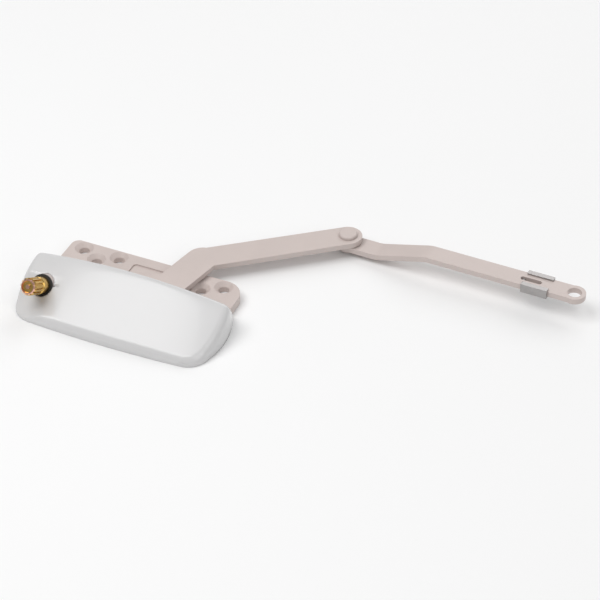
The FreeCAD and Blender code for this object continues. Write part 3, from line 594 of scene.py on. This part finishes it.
def scooped(x, y, top, cover):
    """Height after the scoop: a leaning flat at the front left, eased into the main face on its
    right and at its back, and behind the stud a half-round pocket whose floor is the plane
    square to the stud, (p - seat) . axis = 0."""
    seat = SHAFT_POINT + SHAFT_AXIS * cover.pocket_floor
    flat = seat[2] + math.tan(SCOOP_RISE_RIGHT) * (x - seat[0])
    flat = flat + math.tan(SCOOP_RISE_BACK) * (y - seat[1])
    drift = np.clip(SCOOP_BEND - y, SCOOP_DRIFT_FROM, SCOOP_DRIFT_TO)
    boundary = SCOOP_EDGE + SCOOP_EDGE_DRIFT * drift
    across = np.clip((x - boundary) / SCOOP_EDGE_BLEND + SCOOP_EDGE_SHARE, 0.0, 1.0)
    reach = np.clip((y - SCOOP_BACK) / SCOOP_BACK_BLEND + 0.5, 0.0, 1.0)
    ease = np.maximum(smooth_step(across), smooth_step(reach))
    lowered = smooth_low(top, flat, SCOOP_VALLEY)
    result = lowered * (1.0 - ease) + top * ease
    floor = seat[2] + (y - seat[1]) * SHAFT_AXIS[1] / -SHAFT_AXIS[2]
    beside = (x - seat[0]) / cover.pocket_radius
    behind = (y - seat[1]) * SHAFT_UP[1] + (result - seat[2]) * SHAFT_UP[2]
    radial = np.sqrt(beside ** 2 + (behind / cover.pocket_radius) ** 2)
    wall = np.clip((radial - 1.0) / POCKET_WALL + 0.5, 0.0, 1.0)
    pocket = np.where(y > seat[1] - POCKET_LEAD, np.minimum(result, floor), result)
    return pocket * (1.0 - wall) + result * wall


def skirted(x, y, z):
    """Points and faces of the outer skin: the grid, then its rim carried down to the foot."""
    rows, columns = x.shape
    index = np.arange(rows * columns).reshape(rows, columns)
    rim = np.concatenate([index[0], index[1:, -1], index[-1, -2::-1], index[-2:0:-1, 0]])
    grid = np.stack([x, y, z], axis=2).reshape(-1, 3)
    skirts = [
        grid[rim] * [1, 1, 1 - step / SKIRT_STEPS] for step in range(1, SKIRT_STEPS + 1)
    ]
    corner = index[:-1, :-1].ravel()
    faces = [np.stack([corner, corner + 1, corner + columns + 1, corner + columns], 1)]
    upper = rim
    for step in range(SKIRT_STEPS):
        lower = rows * columns + step * len(rim) + np.arange(len(rim))
        faces.append(np.stack([upper, lower, np.roll(lower, -1), np.roll(upper, -1)], 1))
        upper = lower
    return np.concatenate([grid] + skirts), np.concatenate(faces)


def clear_of_openings(points, faces, hole_radius):
    """Faces outside the stud's hole, the arm's doorway and the notch over the flange."""
    middle = points[faces].mean(axis=1)
    offset = middle - SHAFT_POINT
    along = offset @ SHAFT_AXIS
    away = np.linalg.norm(offset - along[:, None] * SHAFT_AXIS, axis=1)
    stud = (away < hole_radius) & (along > STUD_HOLE_START)
    doorway = (middle[:, 1] > DOORWAY_FRONT) & (middle[:, 2] < DOORWAY_TOP)
    doorway &= (middle[:, 0] > DOORWAY_LEFT) & (middle[:, 0] < DOORWAY_RIGHT)
    over_flange = (middle[:, 1] > FLANGE_FRONT) & (middle[:, 2] < FLANGE_TOP)
    return faces[~(stud | doorway | over_flange)]


def settle(piece):
    """Apply the wall to the mesh and keep every point at or above the mounting face and
    behind the cover's front."""
    view = bpy.context.evaluated_depsgraph_get()
    solid = bpy.data.meshes.new_from_object(piece.evaluated_get(view))
    piece.modifiers.clear()
    piece.data = solid
    places = np.empty(len(solid.vertices) * 3)
    solid.vertices.foreach_get("co", places)
    places = places.reshape(-1, 3)
    places[:, 2] = np.maximum(places[:, 2], 0.0)
    places[:, 1] = np.maximum(places[:, 1], COVER_FRONT * MM)
    solid.vertices.foreach_set("co", places.ravel())
    solid.update()


def build_cover(cover):
    """Outer skin over the foot outline, opened for the arm and the stud, then given its wall by
    a Solidify modifier, which is applied."""
    x, y = cover_plan(cover.detail)
    sideways = np.clip((np.abs(x - COVER_MIDDLE) - END_START) / END_BLEND, 0.0, 1.0)
    edge_round = cover.lip_round + (cover.end_round - cover.lip_round) * sideways
    z = cover_height(x, y, rim_distance(x, y), edge_round, cover)
    points, faces = skirted(x, y, z)
    faces = clear_of_openings(points, faces, cover.hole_radius)
    piece = mesh_piece("cover_shell", points, faces)
    build = bmesh.new()
    build.from_mesh(piece.data)
    loose = [vert for vert in build.verts if not vert.link_faces]
    bmesh.ops.delete(build, geom=loose, context="VERTS")
    bmesh.ops.recalc_face_normals(build, faces=build.faces)
    build.to_mesh(piece.data)
    build.free()
    shade_smooth(piece, COVER_CREASE)
    wall = piece.modifiers.new("wall", "SOLIDIFY")
    wall.thickness = cover.wall * MM
    wall.offset = -1.0
    wall.use_even_offset = False
    wall.use_quality_normals = True
    settle(piece)
    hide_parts("cover")
    return piece


# Stage

def build_floor(tone):
    """Pale card just under the mounting face."""
    half = FLOOR_HALF
    corners = [(-half, -half, 0), (half, -half, 0), (half, half, 0), (-half, half, 0)]
    floor = mesh_piece("floor", np.array(corners) / MM, [(0, 1, 2, 3)])
    floor.data.transform(Matrix.Translation((0, 0, -FLOOR_DROP)))
    floor.data.materials.append(
        finish("floor_card", (tone, tone, tone), 0.004, (0.80, 0.90), broad=3.0, fine=300.0)
    )


def build_lights(scene, key_power):
    """Soft white room and the area lamps, each turned to the target."""
    world = bpy.data.worlds.new("soft_room")
    world.use_nodes = True
    background = world.node_tree.nodes["Background"]
    background.inputs["Color"].default_value = (1, 1, 1, 1)
    background.inputs["Strength"].default_value = ROOM_STRENGTH
    scene.world = world
    for name, place, width, share in LAMPS:
        lamp = bpy.data.lights.new(name, "AREA")
        lamp.size = width
        lamp.energy = key_power * share
        holder = bpy.data.objects.new(name, lamp)
        holder.location = place
        holder.rotation_euler = (TARGET - Vector(place)).to_track_quat("-Z", "Y").to_euler()
        scene.collection.objects.link(holder)


def build_camera(scene, stage):
    """Camera at its distance from the target, with the lens that sees the view's width."""
    lens = bpy.data.cameras.new("camera")
    lens.sensor_width = SENSOR_WIDTH
    lens.lens = SENSOR_WIDTH * stage.distance / stage.view_width
    camera = bpy.data.objects.new("camera", lens)
    turn = math.radians(stage.azimuth)
    lift = math.radians(stage.elevation)
    back = Vector((
        math.sin(turn) * math.cos(lift), -math.cos(turn) * math.cos(lift), math.sin(lift),
    ))
    camera.location = TARGET + back * stage.distance
    camera.rotation_mode = "QUATERNION"
    camera.rotation_quaternion = (-back).to_track_quat("-Z", "Y")
    scene.collection.objects.link(camera)
    scene.camera = camera


# Operators

class SASH_OT_finishes(bpy.types.Operator):
    """Give every carried-over node its finish"""

    bl_idname = "sash.finishes"
    bl_label = "Node finishes"

    def execute(self, context):
        made = build_finishes(context.scene.sash_finish)
        for node, held in frame["nodes"].items():
            held.data.materials.clear()
            held.data.materials.append(made[slot_of(node)])
        context.scene["sash_finishes"] = {slot: item.name for slot, item in made.items()}
        return {"FINISHED"}


class SASH_OT_cover(bpy.types.Operator):
    """Moulded gloss cover with the scoop round the stud"""

    bl_idname = "sash.cover"
    bl_label = "Cover"

    def execute(self, context):
        give_finish(build_cover(context.scene.sash_cover), "white_plastic", "base")
        return {"FINISHED"}


class SASH_OT_arms(bpy.types.Operator):
    """Case, arms, rivet and clip with rounded edges"""

    bl_idname = "sash.arms"
    bl_label = "Case and arms"

    def execute(self, context):
        for node, width, body in SOFT_NODES:
            give_finish(soft_copy(node, width), slot_of(node), body)
        return {"FINISHED"}


class SASH_OT_stage(bpy.types.Operator):
    """Pale floor, soft lights and the camera"""

    bl_idname = "sash.stage"
    bl_label = "Stage"

    def execute(self, context):
        stage = context.scene.sash_stage
        build_floor(stage.floor_tone)
        build_lights(context.scene, stage.key_power)
        build_camera(context.scene, stage)
        context.scene.view_settings.view_transform = "Standard"
        return {"FINISHED"}


class SASH_PT_panel(bpy.types.Panel):
    """Lists the pieces and the stage"""

    bl_label = "Window sash operator"
    bl_idname = "SASH_PT_panel"
    bl_space_type = "VIEW_3D"
    bl_region_type = "UI"
    bl_category = "Operator"

    def draw(self, context):
        for operator in STEPS:
            self.layout.operator(operator.bl_idname)
        for group in ("sash_cover", "sash_finish", "sash_stage"):
            settings = getattr(context.scene, group)
            for key in settings.__annotations__:
                self.layout.prop(settings, key)


STEPS = (SASH_OT_finishes, SASH_OT_cover, SASH_OT_arms, SASH_OT_stage)
CLASSES = (CoverSettings, FinishSettings, StageSettings) + STEPS + (SASH_PT_panel,)


def register():
    """Register the classes and hang their settings on the scene."""
    for item in CLASSES:
        bpy.utils.register_class(item)
    bpy.types.Scene.sash_cover = PointerProperty(type=CoverSettings)
    bpy.types.Scene.sash_finish = PointerProperty(type=FinishSettings)
    bpy.types.Scene.sash_stage = PointerProperty(type=StageSettings)


def unregister():
    """Take the settings and the classes away again."""
    del bpy.types.Scene.sash_cover
    del bpy.types.Scene.sash_finish
    del bpy.types.Scene.sash_stage
    for item in reversed(CLASSES):
        bpy.utils.unregister_class(item)


def main():
    """Build everything in order."""
    register()
    bpy.ops.sash.finishes()
    bpy.ops.sash.cover()
    bpy.ops.sash.arms()
    bpy.ops.sash.stage()


if __name__ == "__main__":
    main()
